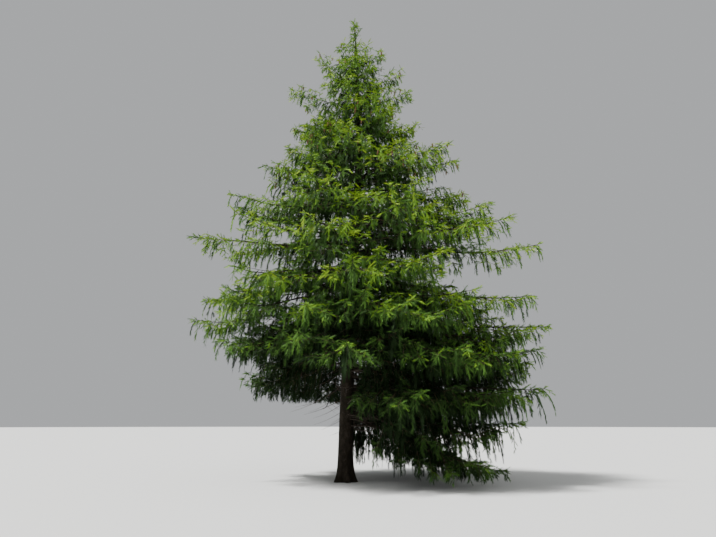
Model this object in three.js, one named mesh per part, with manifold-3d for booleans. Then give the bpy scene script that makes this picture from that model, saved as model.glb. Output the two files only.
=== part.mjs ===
// A whole open-grown norway spruce, fifteen metres tall, rooted in level ground.
// Millimetres, +Z up. The origin is the middle of the flat cut under the trunk.
// +X is the right of the tree as seen from its front, +Y points to its back.
import * as THREE from 'three';
import Module from 'manifold-3d';

const wasm = await Module();
wasm.setup();

const METRE = 1000;
const DEGREE = Math.PI / 180;

// Whole tree.
const TREE_HEIGHT = 15 * METRE;
const TRUNK_TOP = 13.95 * METRE;
const LEAN = 0.38 * METRE;
const LEAN_HEIGHT = 10.5 * METRE;

// Trunk.
const TRUNK_SIDES = 12;
const TRUNK_RADIUS = 0.222 * METRE;
const TRUNK_TIP_RADIUS = 0.016 * METRE;
const TAPER_POWER = 0.92;
const FLARE = 0.085 * METRE;
const FLARE_HEIGHT = 0.28 * METRE;
const ROOT_LOBES = 5;
const LOBE_DEPTH = 0.22;
const TRUNK_RINGS = [0, 0.1, 0.26, 0.55, 1.1, 2, 3.2, 4.6, 6, 7.5, 9, 10.6, 12.2, 13.2];

// Seats: every limb stops this far short of what carries it.
const SEAT_GAP = 0.3;
const FREE_GAP = 3;

// Limbs.
const LIMB_SLENDERNESS = 0.0088;
const LIMB_TAPER = 0.86;
const BOUGH_SIDES = 5;
const BOUGH_RINGS = 4;
const BOUGH_END = 0.34;
const STEM_RINGS = 3;
const STEM_BARE = 0.06;
const LIMB_WANDER = 0.03;
const WHORL_STEP = 0.06 * METRE;

// Side twigs of one stem: where they leave it, their length, angle, thickness and sag.
// Places are shares of the stem, lengths shares of its reach, angles degrees.
const TWIG_FIRST = 0.16;
const TWIG_LAST = 0.81;
const TWIG_SHIFT = 0.02;
const TWIG_LENGTH = 0.3;
const TWIG_EXTRA = 0.45 * METRE;
const TWIG_SHORTEST = 0.3 * METRE;
const TWIG_FALL = 0.55;
const TWIG_VARIES = [0.85, 1.15];
const TWIG_ANGLE = 58;
const TWIG_ANGLE_FALL = 16;
const TWIG_TURN = 6;
const TWIG_THICKNESS = 0.45;
const TWIG_TAPER = 0.8;
const TWIG_BARE = 0.3;
const SAG = 0.26;
const SAG_VARIES = [0.6, 1.4];

// Sprays of needles at the ends of stems and twigs, as shares of their length and width.
const STEM_SPRAY = 0.82;
const SPRAY_WIDTH = 0.9;
const SPRAY_NARROWEST = 0.3 * METRE;
const SPRAY_NARROWING = 0.5;
const SPRAY_THICKNESS = 0.025;
const SPRAY_RIB = 0.36;
const SPRAY_TILT = [10, 45];
const STEM_TEETH = 4;
const TWIG_TEETH = [3, 3, 2];
const TOOTH_PLACE = [0.12, 0.92];
const TOOTH_ENDS = [0.9, 0.6];
const TOOTH_VARIES = [0.85, 1.15];
const NOTCH_STEP = 0.05;
const NOTCH_DEPTH = 0.5;

// Curtains of hanging sprays under the stems, as shares of their hang and of their
// length of stem.
const CURTAIN_POINTS = 4;
const CURTAIN_SPLAY = 0.05;
const CURTAIN_CORNER = 0.7;
const CURTAIN_POINT = [0.8, 1];
const CURTAIN_CUT = [0.36, 0.54];
const CURTAIN_SWING = 30;
const CURTAIN_START = 0.4;
const CURTAIN_GAP = 0.05;
const CURTAIN_VARIES = [0.85, 1.1];
const TIP_CURTAIN = 0.8;
const LOWEST_FOLIAGE = 30;

// Cones, drawn larger than life so that they show from a step away. Their shape is rings
// of [share of the length, share of the radius].
const CONE_LENGTH = 0.2 * METRE;
const CONE_RADIUS = 0.032 * METRE;
const CONE_SHAPE = [[0, 0.3], [0.4, 1], [1, 0.2]];
const CONE_TIERS = 8;

// Offsets between the draws for a limb's twigs, its bow and its details.
const WANDER_SEED = 50;
const DETAIL_SEED = 5000;

// Each tier of boughs leaves the trunk at about one height, each limb a step above the
// one before it. Slopes are in degrees, at the trunk and at the tip. The hang is the
// length in metres of the curtains under its limbs. The first limbs of a tier, as many as
// its boughs, start as a bare bough.
// Each limb is [azimuth in degrees, reach in metres, height of its tip in metres].
// Azimuth 0 is the right of the tree, 90 its back, 180 its left and 270 its front.
const TIERS = [
  {
    height: 2.05, start: -10, end: 2, hang: 1.0, sag: 1, twigs: 4, curtains: 3, boughs: 0,
    limbs: [[322, 4.4, 0.6], [8, 5.3, 1.6], [46, 4.7, 0.85], [84, 4.0, 1.1]],
  },
  {
    height: 3.1, start: -2, end: 8, hang: 1.0, sag: 1, twigs: 4, curtains: 3, boughs: 5,
    limbs: [[298, 3.9, 2.3], [347, 5.5, 2.5], [30, 5.7, 2.4], [78, 4.9, 2.2], [156, 3.2, 2.85]],
  },
  {
    height: 4.0, start: 2, end: 10, hang: 1.0, sag: 1, twigs: 4, curtains: 3, boughs: 2,
    limbs: [[326, 5.1, 3.3], [14, 5.9, 3.45], [118, 4.7, 3.4], [203, 3.9, 3.8], [252, 3.9, 3.7]],
  },
  {
    height: 4.8, start: 4, end: 8, hang: 1.0, sag: 0.8, twigs: 4, curtains: 3, boughs: 0,
    limbs: [[0, 5.95, 4.4], [62, 5.2, 4.3], [188, 4.6, 4.5], [290, 4.3, 4.4]],
  },
  {
    height: 5.7, start: 6, end: 10, hang: 1.0, sag: 0.8, twigs: 4, curtains: 3, boughs: 0,
    limbs: [[344, 5.2, 5.05], [100, 4.9, 5.3], [168, 4.95, 5.45], [228, 4.4, 5.4], [270, 4.1, 5.4]],
  },
  {
    height: 6.7, start: 8, end: 12, hang: 0.95, sag: 0.7, twigs: 4, curtains: 3, boughs: 0,
    limbs: [[353, 5.5, 6.75], [60, 5.0, 6.7], [132, 4.8, 6.8], [190, 4.9, 6.95], [328, 4.9, 6.95]],
  },
  {
    height: 7.7, start: 12, end: 14, hang: 0.9, sag: 0.6, twigs: 4, curtains: 3, boughs: 0,
    limbs: [[10, 4.5, 8.05], [92, 4.2, 8.0], [192, 3.9, 8.3], [250, 3.7, 7.9]],
  },
  {
    height: 8.7, start: 18, end: 20, hang: 0.85, sag: 0.4, twigs: 4, curtains: 3, boughs: 0,
    limbs: [[24, 4.1, 9.05], [122, 3.5, 9.3], [176, 3.0, 9.7], [294, 3.0, 9.1]],
  },
  {
    height: 9.6, start: 22, end: 26, hang: 0.8, sag: 0.3, twigs: 4, curtains: 3, boughs: 0,
    limbs: [[354, 2.9, 10.2], [70, 2.7, 10.3], [238, 2.4, 10.2]],
  },
  {
    height: 10.5, start: 28, end: 30, hang: 0.75, sag: 0.2, twigs: 4, curtains: 3, boughs: 0,
    limbs: [[18, 1.95, 11.15], [160, 2.3, 11.25], [286, 1.9, 11.1]],
  },
  {
    height: 11.4, start: 30, end: 32, hang: 0.7, sag: 0.2, twigs: 3, curtains: 3, boughs: 0,
    limbs: [[340, 1.75, 11.95], [90, 1.7, 12.1], [186, 2.2, 12.2]],
  },
  {
    height: 12.3, start: 32, end: 36, hang: 0.6, sag: 0.1, twigs: 3, curtains: 3, boughs: 0,
    limbs: [[6, 1.5, 13.0], [174, 1.38, 13.6], [268, 1.1, 12.9]],
  },
  {
    height: 13.15, start: 30, end: 30, hang: 0.5, sag: 0.1, twigs: 3, curtains: 2, boughs: 0,
    limbs: [[2, 0.95, 13.7], [200, 0.6, 13.8]],
  },
];

// The leader above the trunk and the small shoots round it.
const LEADER_TOP = 14.95 * METRE;
const LEADER = {
  name: 'leader',
  seed: 7,
  thickness: TRUNK_TIP_RADIUS,
  spread: 0.5 * METRE,
  sag: -0.4,
  twigs: 5,
  curtains: 0,
  cones: 0,
  hasBough: false,
  bare: 0.1,
  from: 0,
  whorl: 77 * DEGREE,
};

const bark = new THREE.MeshStandardMaterial({ color: 0x55443a, roughness: 0.92, metalness: 0 });
const needles = new THREE.MeshStandardMaterial({ color: 0x46652a, roughness: 0.7, metalness: 0 });

// Repeatable draws between 0 and 1.
function seeded(seed) {
  let state = seed >>> 0;
  return () => {
    state = (state + 0x6d2b79f5) >>> 0;
    let mixed = Math.imul(state ^ (state >>> 15), state | 1);
    mixed ^= mixed + Math.imul(mixed ^ (mixed >>> 7), mixed | 61);
    return ((mixed ^ (mixed >>> 14)) >>> 0) / 2 ** 32;
  };
}

const mix = (a, b, share) => a + (b - a) * share;
const vector = (x, y, z) => new THREE.Vector3(x, y, z);

// A geometry from a list of points and a list of triangles.
function geometryOf(points, triangles) {
  const geometry = new THREE.BufferGeometry().setFromPoints(points);
  geometry.setIndex(triangles);
  return geometry;
}

// The solid that a closed geometry bounds.
function solidOf(geometry) {
  const mesh = new wasm.Mesh({
    numProp: 3,
    vertProperties: Float32Array.from(geometry.getAttribute('position').array),
    triVerts: Uint32Array.from(geometry.getIndex().array),
  });
  return new wasm.Manifold(mesh);
}

// Triangles between rings that follow each other, each ring with as many points.
function loftSides(ringCount, sides) {
  const triangles = [];
  for (let r = 0; r + 1 < ringCount; r += 1) {
    for (let s = 0; s < sides; s += 1) {
      const a = r * sides + s;
      const b = r * sides + ((s + 1) % sides);
      triangles.push(a, b, b + sides, a, b + sides, a + sides);
    }
  }
  return triangles;
}

// A closed solid through rings of points, with a flat cut at each end.
function loft(rings) {
  const sides = rings[0].length;
  const triangles = loftSides(rings.length, sides);
  const last = (rings.length - 1) * sides;
  for (let s = 1; s + 1 < sides; s += 1) {
    triangles.push(0, s + 1, s);
    triangles.push(last, last + s, last + s + 1);
  }
  return solidOf(geometryOf(rings.flat(), triangles));
}

// The level direction square to a limb, or any one for an upright limb.
function levelAcross(direction) {
  const across = vector(-direction.y, direction.x, 0);
  return across.lengthSq() > 1e-6 ? across.normalize() : vector(0, 1, 0);
}

// One ring of points round a limb. Its first point lies above the limb, turned about it
// by an angle.
function ringRound(middle, direction, radius, sides, turn = 0) {
  const axis = direction.clone().normalize();
  const up = axis.clone().cross(levelAcross(axis)).multiplyScalar(radius);
  const ring = [];
  for (let s = 0; s < sides; s += 1) {
    const angle = turn + (2 * Math.PI * s) / sides;
    ring.push(middle.clone().add(up.clone().applyAxisAngle(axis, angle)));
  }
  return ring;
}

// Middle of the trunk at a height.
function trunkAxis(z) {
  const swing = Math.sin((Math.PI * z) / (2 * LEAN_HEIGHT));
  return vector(LEAN * swing * swing, 0, z);
}

// Radius of the trunk at a height, without its root lobes.
function trunkRadius(z) {
  const left = Math.max(0, 1 - z / TREE_HEIGHT);
  const shaft = TRUNK_TIP_RADIUS + (TRUNK_RADIUS - TRUNK_TIP_RADIUS) * left ** TAPER_POWER;
  return shaft + FLARE * Math.exp(-z / FLARE_HEIGHT);
}

// The trunk with its flare and root lobes. A clearance fattens it for cutting seats.
function trunkSolid(clearance) {
  const heights = TRUNK_RINGS.map((h) => h * METRE);
  heights.push(TRUNK_TOP + clearance);
  const fatter = clearance / Math.cos(Math.PI / TRUNK_SIDES);
  const rings = heights.map((z) => {
    const lobes = LOBE_DEPTH * Math.exp(-z / FLARE_HEIGHT);
    const middle = trunkAxis(z);
    const ring = [];
    for (let s = 0; s < TRUNK_SIDES; s += 1) {
      const turn = (2 * Math.PI * s) / TRUNK_SIDES;
      const radius = trunkRadius(z) * (1 + lobes * Math.cos(ROOT_LOBES * turn)) + fatter;
      ring.push(vector(middle.x + radius * Math.cos(turn), radius * Math.sin(turn), z));
    }
    return ring;
  });
  return loft(rings);
}

// The curve of a limb from the middle of the trunk to its tip, bowed a little sideways.
function limbCurve(limb) {
  const out = vector(Math.cos(limb.azimuth), Math.sin(limb.azimuth), 0);
  const root = trunkAxis(limb.height);
  const tip = root.clone().addScaledVector(out, limb.reach).setZ(limb.tipHeight);
  const handle = root.distanceTo(tip) / 3;
  const bow = levelAcross(out).multiplyScalar(limb.wander);
  const leave = out.clone().multiplyScalar(Math.cos(limb.start)).setZ(Math.sin(limb.start));
  const arrive = out.clone().multiplyScalar(Math.cos(limb.end)).setZ(Math.sin(limb.end));
  const near = root.clone().addScaledVector(leave, handle).add(bow);
  const far = tip.clone().addScaledVector(arrive, -handle).add(bow);
  return new THREE.CubicBezierCurve3(root, near, far, tip);
}

// The upright curve of the leader, from the tip of the trunk to the top of the tree.
function leaderCurve() {
  return new THREE.LineCurve3(trunkAxis(TRUNK_TOP + SEAT_GAP), trunkAxis(LEADER_TOP));
}

function limbRadius(limb, t) {
  return limb.thickness * (1 - LIMB_TAPER * t);
}

// Rings round a limb between two shares of its curve.
function limbRings(limb, from, to, sides, count) {
  const rings = [];
  for (let r = 0; r <= count; r += 1) {
    const t = mix(from, to, r / count);
    const middle = limb.curve.getPoint(t);
    rings.push(ringRound(middle, limb.curve.getTangent(t), limbRadius(limb, t), sides));
  }
  return rings;
}

// A point inside the straight lengths of a stem, at a share of the limb's curve.
function insideStem(limb, t) {
  const step = (STEM_SPRAY - limb.from) / STEM_RINGS;
  const k = Math.min(STEM_RINGS - 1, Math.floor((t - limb.from) / step));
  const before = limb.curve.getPoint(limb.from + k * step);
  const after = limb.curve.getPoint(limb.from + (k + 1) * step);
  return before.lerp(after, (t - limb.from) / step - k);
}

// The frame of a blade: along it, across it and square to it. Tilt is in radians.
function bladeFrame(root, way, tilt) {
  const along = way.clone().normalize();
  const across = levelAcross(along).applyAxisAngle(along, tilt);
  const normal = along.clone().cross(across);
  return (u, v, w) => {
    const point = root.clone().addScaledVector(along, u);
    return point.addScaledVector(across, v).addScaledVector(normal, w);
  };
}

// The outline of a spray from one side of its root round its tip to the other side. The
// teeth lean forward and stand left and right in turn.
function sprayOutline(at, length, width, teeth, random) {
  const sides = [[], []];
  for (let k = 0; k < teeth; k += 1) {
    const share = (k + TOOTH_ENDS[0]) / (teeth + TOOTH_ENDS[1]);
    const tip = mix(...TOOTH_PLACE, share);
    const half = (width / 2) * (1 - SPRAY_NARROWING * share) * mix(...TOOTH_VARIES, random());
    const reach = k % 2 === 0 ? half : -half;
    sides[k % 2].push(at(tip * length, reach, 0));
    sides[k % 2].push(at((tip + NOTCH_STEP) * length, reach * NOTCH_DEPTH, 0));
  }
  return [...sides[0], at(length, 0, 0), ...sides[1].reverse()];
}

// A curtain of hanging sprays under a straight length of limb: a blade whose upper edge
// lies inside the limb and whose lower edge is cut into points, thickest in its middle.
function curtainSolid(near, far, down, hang, random) {
  const upper = far.clone().sub(near);
  const at = (share, drop) => near.clone().addScaledVector(upper, share).addScaledVector(down, drop);
  const outline = [near, far];
  const last = 2 * CURTAIN_POINTS - 2;
  for (let k = last; k >= 0; k -= 1) {
    const share = k / last;
    const belly = mix(CURTAIN_CORNER, 1, Math.sin(Math.PI * share));
    const drop = mix(...(k % 2 === 0 ? CURTAIN_POINT : CURTAIN_CUT), random());
    outline.push(at(mix(-CURTAIN_SPLAY, 1 + CURTAIN_SPLAY, share), belly * drop * hang));
  }
  const normal = upper.clone().cross(down).normalize();
  const half = (hang * SPRAY_THICKNESS) / 2;
  const middle = at(0.5, SPRAY_RIB * hang);
  const count = outline.length;
  outline.push(middle.clone().addScaledVector(normal, half));
  outline.push(middle.clone().addScaledVector(normal, -half));
  const triangles = [];
  for (let k = 0; k < count; k += 1) {
    const next = (k + 1) % count;
    triangles.push(k, next, count, next, k, count + 1);
  }
  return solidOf(geometryOf(outline, triangles));
}

// A three-sided stem or twig through its rings that spreads into a spray at its end.
// The last ring lies in the frame of the blade, its first point above the blade.
function sprayedLimb(rings, at, length, width, teeth, random) {
  const points = rings.flat();
  const top = points.length - 3;
  const [left, right] = [top + 1, top + 2];
  const triangles = [0, 2, 1, ...loftSides(rings.length, 3)];
  const outline = sprayOutline(at, length, width, teeth, random);
  const rim = [right, ...outline.map((p, k) => points.length + k), left];
  points.push(...outline);
  const thick = (length * SPRAY_THICKNESS) / 2;
  points.push(at(SPRAY_RIB * length, 0, thick), at(SPRAY_RIB * length, 0, -thick));
  const [above, below] = [points.length - 2, points.length - 1];
  for (let k = 0; k + 1 < rim.length; k += 1) {
    triangles.push(rim[k + 1], rim[k], above, rim[k], rim[k + 1], below);
  }
  triangles.push(top, left, above, right, top, above, left, right, below);
  return solidOf(geometryOf(points, triangles));
}

// A hanging cone: a four-sided spindle, its top end inside the twig that carries it.
function coneSolid(top) {
  const rings = CONE_SHAPE.map(([share, girth]) => {
    const middle = top.clone().setZ(top.z - share * CONE_LENGTH);
    return ringRound(middle, vector(0, 0, -1), girth * CONE_RADIUS, 4);
  });
  return loft(rings);
}

// The stem of a mass with the spray at its tip. It starts 0.3 mm clear of its bough, or
// is cut 0.3 mm clear of the trunk.
function stemSolid(limb, seat, random) {
  const root = limb.curve.getPoint(STEM_SPRAY);
  const way = limb.curve.getPoint(1).sub(root);
  const tilt = mix(...SPRAY_TILT, random()) * DEGREE;
  const at = bladeFrame(root, way, tilt);
  const rings = limbRings(limb, limb.from, STEM_SPRAY, 3, STEM_RINGS);
  rings.pop();
  rings.push(ringRound(root, way, limbRadius(limb, STEM_SPRAY), 3, tilt));
  const length = way.length();
  const width = Math.max(length * SPRAY_WIDTH, SPRAY_NARROWEST);
  const stem = sprayedLimb(rings, at, length, width, STEM_TEETH, random);
  return limb.from === 0 ? stem.subtract(seat) : stem;
}

// Everything that could grow on the stem of a mass, in the order in which it claims its
// space. A part with a carrier grows only if its carrier did. The limb's own draws place
// its twigs; the other draws shape the sprays.
function growth(limb, detail) {
  const random = seeded(limb.seed);
  const parts = [];
  const add = (turn, shape, carrier) => {
    parts.push({ turn, shape, carrier });
    return parts.length - 1;
  };
  for (let k = 0; k < limb.twigs; k += 1) {
    growTwig(limb, twigPlan(limb, k, random), k, detail, add);
  }
  for (let k = 0; k < limb.curtains; k += 1) {
    growCurtain(limb, k, detail, add);
  }
  return parts;
}

// Where one side twig leaves its stem, which way it goes and how far.
function twigPlan(limb, k, random) {
  const draw = (low, high) => mix(low, high, random());
  const share = (k + 0.5) / limb.twigs;
  const shift = draw(-TWIG_SHIFT, TWIG_SHIFT);
  const t = mix(mix(limb.bare, 1, TWIG_FIRST), TWIG_LAST, share) + shift;
  const along = limb.curve.getTangent(t);
  const side = (k + limb.seed) % 2 === 0 ? 1 : -1;
  const angle = (TWIG_ANGLE - TWIG_ANGLE_FALL * share + draw(-TWIG_TURN, TWIG_TURN)) * DEGREE;
  const full = limb.spread * (1 - TWIG_FALL * share) * draw(...TWIG_VARIES);
  const across = levelAcross(along).applyAxisAngle(along, k * limb.whorl);
  const way = along.clone().multiplyScalar(Math.cos(angle));
  way.addScaledVector(across, side * Math.sin(angle));
  way.z -= limb.sag * draw(...SAG_VARIES);
  return { t, side, way: way.normalize(), length: Math.max(TWIG_SHORTEST, full) };
}

// One side twig that ends in a spray, and perhaps a cone that hangs from it.
function growTwig(limb, plan, k, detail, add) {
  const { way, length } = plan;
  const start = insideStem(limb, plan.t);
  const tilt = -plan.side * mix(...SPRAY_TILT, detail()) * DEGREE;
  const radius = limbRadius(limb, plan.t) * TWIG_THICKNESS;
  const bare = start.clone().addScaledVector(way, TWIG_BARE * length);
  const rings = [
    ringRound(start, way, radius, 3, tilt),
    ringRound(bare, way, radius * TWIG_TAPER, 3, tilt),
  ];
  const blade = (1 - TWIG_BARE) * length;
  const width = Math.max(blade * SPRAY_WIDTH, SPRAY_NARROWEST);
  const teeth = TWIG_TEETH[Math.min(k, TWIG_TEETH.length - 1)];
  const at = bladeFrame(bare, way, tilt);
  const twig = add(1, sprayedLimb(rings, at, blade, width, teeth, detail));
  if (k < limb.cones) {
    add(3, coneSolid(bare), twig);
  }
}

// One curtain under one straight length of the stem, counted from its outer end.
function growCurtain(limb, k, detail, add) {
  const draw = (low, high) => mix(low, high, detail());
  const step = (STEM_SPRAY - limb.from) / STEM_RINGS;
  const inner = STEM_SPRAY - (k + 1) * step;
  const meetsTrunk = limb.from === 0 && k + 1 === STEM_RINGS;
  const near = insideStem(limb, inner + step * (meetsTrunk ? CURTAIN_START : CURTAIN_GAP));
  const far = insideStem(limb, inner + step * (1 - CURTAIN_GAP));
  const axis = far.clone().sub(near).normalize();
  const swing = draw(-CURTAIN_SWING, CURTAIN_SWING) * DEGREE;
  const down = vector(0, 0, -1).applyAxisAngle(axis, swing);
  const wanted = limb.hang * draw(...CURTAIN_VARIES) * (k === 0 ? TIP_CURTAIN : 1);
  const hang = Math.min(wanted, Math.min(near.z, far.z) - 2 * LOWEST_FOLIAGE);
  add(2, curtainSolid(near, far, down, hang, detail));
}

// All limbs of the tree from the table of tiers, with the leader last.
function allLimbs() {
  const limbs = [];
  TIERS.forEach((tier, tierIndex) => {
    tier.limbs.forEach(([azimuth, reach, tipHeight], k) => {
      const seed = 100 * (tierIndex + 1) + k;
      const limb = {
        name: `${String(tierIndex + 1).padStart(2, '0')}${'abcdef'[k]}`,
        seed,
        height: tier.height * METRE + k * WHORL_STEP,
        azimuth: azimuth * DEGREE,
        reach: reach * METRE,
        tipHeight: tipHeight * METRE,
        start: tier.start * DEGREE,
        end: tier.end * DEGREE,
        wander: reach * METRE * mix(-LIMB_WANDER, LIMB_WANDER, seeded(seed + WANDER_SEED)()),
        thickness: reach * METRE * LIMB_SLENDERNESS,
        spread: TWIG_EXTRA + reach * METRE * TWIG_LENGTH,
        hang: tier.hang * METRE,
        sag: SAG * tier.sag,
        twigs: tier.twigs,
        curtains: tier.curtains,
        cones: tierIndex + 1 >= CONE_TIERS ? 1 : 0,
        hasBough: k < tier.boughs,
        bare: k < tier.boughs ? BOUGH_END : STEM_BARE,
        from: 0,
        whorl: 0,
      };
      limb.curve = limbCurve(limb);
      limb.from = limb.hasBough ? pastBough(limb.curve) : 0;
      limbs.push(limb);
    });
  });
  limbs.push({ ...LEADER, curve: leaderCurve() });
  return limbs;
}

// The share of a limb's curve at which a mass starts, a seat's gap past its bough.
function pastBough(curve) {
  const tinyShare = 0.001;
  const tinyStep = curve.getPoint(BOUGH_END).distanceTo(curve.getPoint(BOUGH_END + tinyShare));
  return BOUGH_END + (tinyShare * SEAT_GAP) / tinyStep;
}

// Boxes that keep a gap need no closer look.
function farApart(a, b) {
  return [0, 1, 2].some((k) => a.min[k] > b.max[k] + FREE_GAP || b.min[k] > a.max[k] + FREE_GAP);
}

// The whole tree: trunk, boughs and masses, each mass grown into the space left to it.
function buildTree() {
  const group = new THREE.Group();
  group.name = 'norway_spruce';
  const put = (shape, name, material) => group.add(meshOf(shape, name, material));
  const standing = [];
  const stand = (shape, owner) => standing.push({ shape, owner, box: shape.boundingBox() });
  const isFree = (shape, owner) => {
    const box = shape.boundingBox();
    return box.min[2] > LOWEST_FOLIAGE && standing.every((other) => other.owner === owner
      || farApart(box, other.box)
      || shape.minGap(other.shape, FREE_GAP) >= FREE_GAP);
  };

  const trunk = trunkSolid(0);
  const seat = trunkSolid(SEAT_GAP);
  put(trunk, 'trunk', bark);
  stand(trunk, 'trunk');
  const masses = allLimbs().map((limb) => {
    if (limb.hasBough) {
      const whole = loft(limbRings(limb, 0, BOUGH_END, BOUGH_SIDES, BOUGH_RINGS));
      const bough = whole.subtract(seat);
      put(bough, `bough_${limb.name}`, bark);
      stand(bough, `bough_${limb.name}`);
    }
    const detail = seeded(limb.seed + DETAIL_SEED);
    const stem = stemSolid(limb, seat, detail);
    stand(stem, limb.name);
    return { limb, parts: growth(limb, detail), grown: [stem] };
  });
  for (let turn = 1; turn <= 3; turn += 1) {
    for (const mass of masses) {
      for (const part of mass.parts.filter((p) => p.turn === turn)) {
        const carried = part.carrier === undefined || mass.parts[part.carrier].stands;
        if (carried && isFree(part.shape, mass.limb.name)) {
          part.stands = true;
          stand(part.shape, mass.limb.name);
          mass.grown.push(part.shape);
        }
      }
    }
  }
  for (const mass of masses) {
    put(wasm.Manifold.union(mass.grown), `foliage_${mass.limb.name}`, needles);
  }
  return group;
}

function meshOf(shape, name, material) {
  const data = shape.getMesh();
  const geometry = new THREE.BufferGeometry();
  geometry.setAttribute('position', new THREE.BufferAttribute(data.vertProperties, 3));
  geometry.setIndex(new THREE.BufferAttribute(data.triVerts, 1));
  const mesh = new THREE.Mesh(geometry, material);
  mesh.name = name;
  return mesh;
}

export default buildTree();
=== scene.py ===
import math

import bpy
import numpy as np
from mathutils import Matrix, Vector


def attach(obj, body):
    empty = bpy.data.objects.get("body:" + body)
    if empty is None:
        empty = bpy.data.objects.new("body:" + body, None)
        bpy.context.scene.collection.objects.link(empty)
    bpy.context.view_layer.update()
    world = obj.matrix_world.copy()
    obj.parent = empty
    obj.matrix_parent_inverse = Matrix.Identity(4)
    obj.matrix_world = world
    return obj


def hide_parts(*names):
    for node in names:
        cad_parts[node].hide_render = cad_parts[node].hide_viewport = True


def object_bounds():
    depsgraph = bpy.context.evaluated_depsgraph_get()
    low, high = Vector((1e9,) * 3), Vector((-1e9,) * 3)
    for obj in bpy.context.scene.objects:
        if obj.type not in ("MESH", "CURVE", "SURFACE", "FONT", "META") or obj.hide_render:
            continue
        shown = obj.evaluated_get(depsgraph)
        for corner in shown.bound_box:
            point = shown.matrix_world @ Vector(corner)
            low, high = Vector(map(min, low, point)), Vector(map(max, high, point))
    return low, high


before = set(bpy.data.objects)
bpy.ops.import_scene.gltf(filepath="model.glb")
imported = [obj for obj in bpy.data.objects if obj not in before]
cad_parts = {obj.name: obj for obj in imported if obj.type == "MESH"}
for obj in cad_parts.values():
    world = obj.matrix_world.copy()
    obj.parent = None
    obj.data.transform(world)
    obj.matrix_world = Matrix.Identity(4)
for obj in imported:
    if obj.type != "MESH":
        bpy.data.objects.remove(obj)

CAD_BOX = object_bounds()
DEGREE = math.pi / 180
GOLDEN_SHARE = (math.sqrt(5) - 1) / 2
GOLDEN_ANGLE = math.pi * (3 - math.sqrt(5))
DOWN = np.array([0.0, 0.0, -1.0])
UP = -DOWN
THIRDS = (0, 1 / 3, 2 / 3, 1)
SMALLEST = 1e-9
UPRIGHT_BELOW = 1e-3
JUST_BELOW_ONE = 0.9999

# Seeds of the random draws, and steps between the seeds of limbs.
CROWN_SEED = 5
LEADER_SEED = 7
SPIRE_SEED = 9
TRUNK_SEED = 11
BOUGH_SEED = 12
NEEDLE_SEED = 21
CONE_SEED = 31
DEAD_SEED = 41
TIER_SEED_STEP = 100
SLOT_SEED_STEP = 20
LIMB_SEED_STEP = 11

# Whole tree and trunk, in metres. The trunk's swells are shares of its radius, each with
# its waves round the trunk and its turn in radians per metre.
TREE_HEIGHT = 15.0
TRUNK_TOP = 13.95
LEADER_TOP = 14.95
LEAN = 0.38
LEAN_HEIGHT = 10.5
TRUNK_RADIUS = 0.222
TRUNK_TIP_RADIUS = 0.016
TAPER_POWER = 0.92
FLARE = 0.085
FLARE_HEIGHT = 0.28
ROOT_LOBES = 5
LOBE_DEPTH = 0.22
SWELLS = [(0.02, 3, 1.7), (0.015, 2, -0.9)]
SEAT_GAP = 0.0003

# Limbs.
LIMB_SLENDERNESS = 0.0088
LIMB_TAPER = 0.86
LIMB_WANDER = 0.03
WHORL_STEP = 0.06
STEM_BARE = 0.06

# Side twigs of one limb, as in the solids.
TWIG_FIRST = 0.16
TWIG_LAST = 0.81
TWIG_SHIFT = 0.02
TWIG_LENGTH = 0.3
TWIG_EXTRA = 0.45
TWIG_SHORTEST = 0.3
TWIG_FALL = 0.55
TWIG_VARIES = (0.85, 1.15)
TWIG_ANGLE = 58
TWIG_ANGLE_FALL = 16
TWIG_TURN = 6
TWIG_THICKNESS = 0.45
SAG = 0.26
SAG_VARIES = (0.6, 1.4)
WANDER_SEED = 50
FINER_SEED = 9000

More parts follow.
